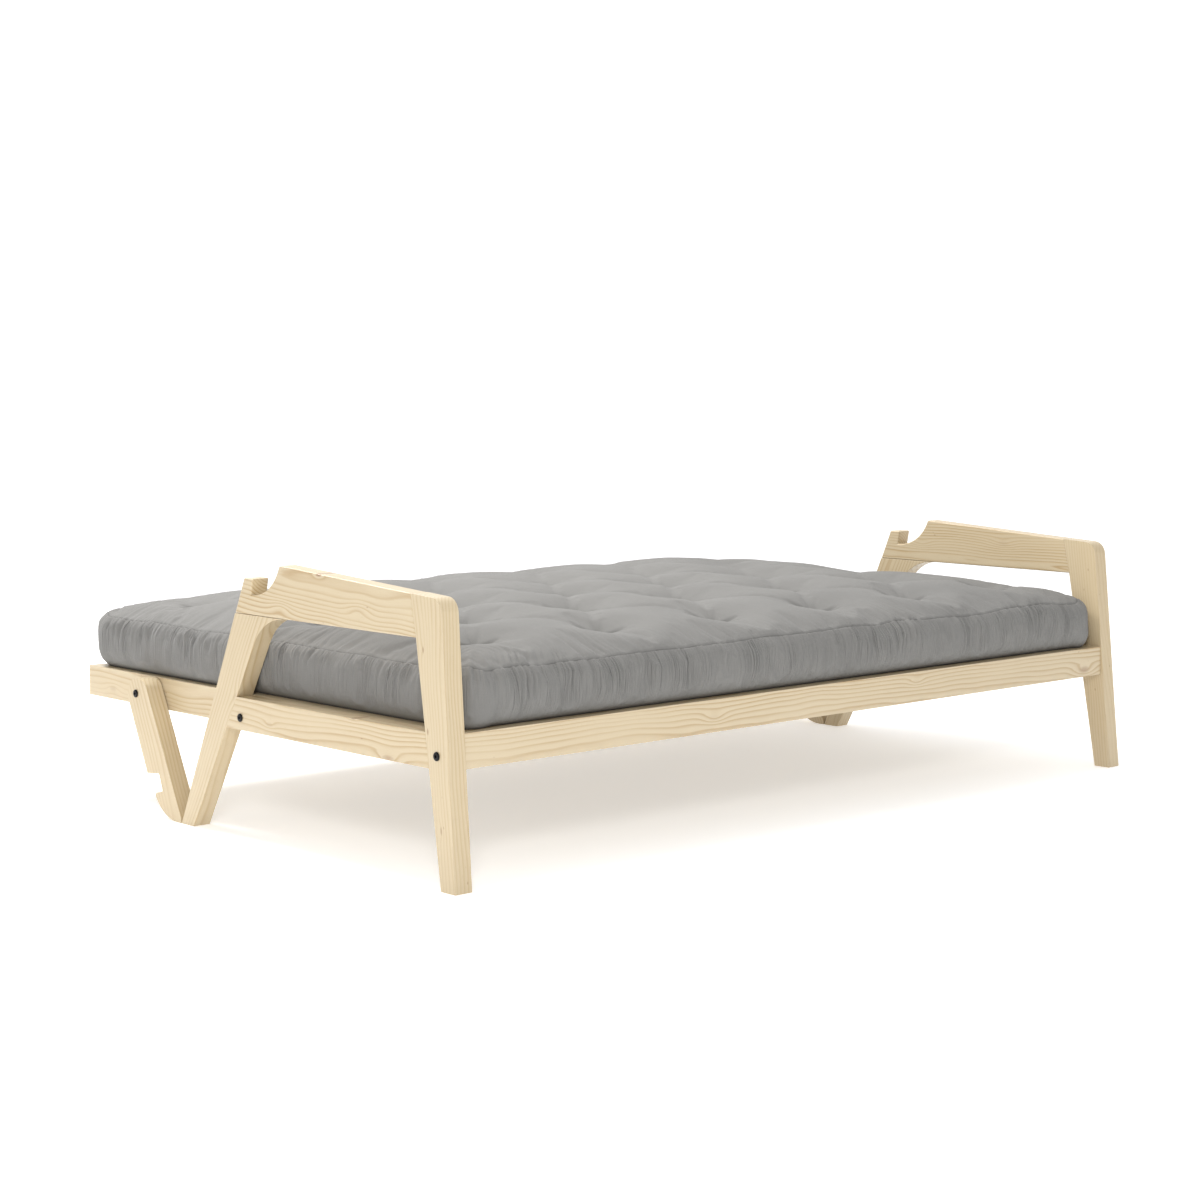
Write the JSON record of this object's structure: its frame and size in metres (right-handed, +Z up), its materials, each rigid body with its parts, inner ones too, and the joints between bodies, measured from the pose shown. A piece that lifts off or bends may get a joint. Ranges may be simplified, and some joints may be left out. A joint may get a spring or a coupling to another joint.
{
  "type": "futon sofa bed",
  "caption": "Pine A-frame sofa bed opened flat, with a folding slatted back, swinging support legs that hook on the armrests, and a tufted grey futon.",
  "frame": {"origin": "on the floor, under the middle of the bed's bounding box", "axes": "+X along the sofa's length towards the right arm seen from the back (the far arm in the picture), -Y towards the front, +Z up; the back lies flat in the rest pose"},
  "size_m": [2.0466, 1.3572, 0.5625],
  "materials": {
    "pine": "clear lacquered pine, satin",
    "black_steel": "blackened steel, satin",
    "zinc_steel": "zinc plated steel",
    "cotton": "mid grey woven cotton drill, tufted"
  },
  "bodies": {
    "frame": {"front_rail": "pine", "seat_rear_rail": "pine", "seat_front_ledger": "pine", "seat_rear_ledger": "pine", "seat_mattress": "cotton", "mattress_fold": "cotton", "seat_slat_01": "pine", "seat_slat_02": "pine", "seat_slat_03": "pine", "seat_slat_04": "pine", "seat_slat_05": "pine", "seat_slat_06": "pine", "seat_slat_07": "pine", "seat_slat_08": "pine", "seat_slat_09": "pine", "left_front_leg": "pine", "left_rear_leg": "pine", "left_armrest": "pine", "left_side_rail": "pine", "left_seat_rail": "pine", "left_pivot_plate": "zinc_steel", "left_front_bolt": "black_steel", "left_rear_bolt": "black_steel", "left_rear_nut": "zinc_steel", "left_barrel_nut": "zinc_steel", "left_pivot_bolt": "zinc_steel", "right_front_leg": "pine", "right_rear_leg": "pine", "right_armrest": "pine", "right_side_rail": "pine", "right_seat_rail": "pine", "right_pivot_plate": "zinc_steel", "right_front_bolt": "black_steel", "right_rear_bolt": "black_steel", "right_rear_nut": "zinc_steel", "right_barrel_nut": "zinc_steel", "right_pivot_bolt": "zinc_steel"},
    "back": {"back_lower_rail": "pine", "back_top_rail": "pine", "back_lower_ledger": "pine", "back_top_ledger": "pine", "back_mattress": "cotton", "back_slat_01": "pine", "back_slat_02": "pine", "back_slat_03": "pine", "back_slat_04": "pine", "back_slat_05": "pine", "back_slat_06": "pine", "back_slat_07": "pine", "back_slat_08": "pine", "back_slat_09": "pine", "left_back_rail": "pine", "left_support_bolt": "black_steel", "left_support_washer": "zinc_steel", "right_back_rail": "pine", "right_support_bolt": "black_steel", "right_support_washer": "zinc_steel"},
    "left_support_leg": {"left_support_leg": "pine"},
    "right_support_leg": {"right_support_leg": "pine"}
  },
  "joints": [
    {"name": "back_fold", "type": "hinge", "parent": "frame", "child": "back", "pos_m": [0, 0.148, 0.2535], "axis": [1, 0, 0], "range_deg": [0, 80.75], "deforming": ["mattress_fold"]},
    {"name": "left_support_swing", "type": "hinge", "parent": "back", "child": "left_support_leg", "pos_m": [-1, 0.4125, 0.2535], "axis": [1, 0, 0], "range_deg": [0, 213]},
    {"name": "right_support_swing", "type": "hinge", "parent": "back", "child": "right_support_leg", "pos_m": [1, 0.4125, 0.2535], "axis": [1, 0, 0], "range_deg": [0, 213]}
  ]
}
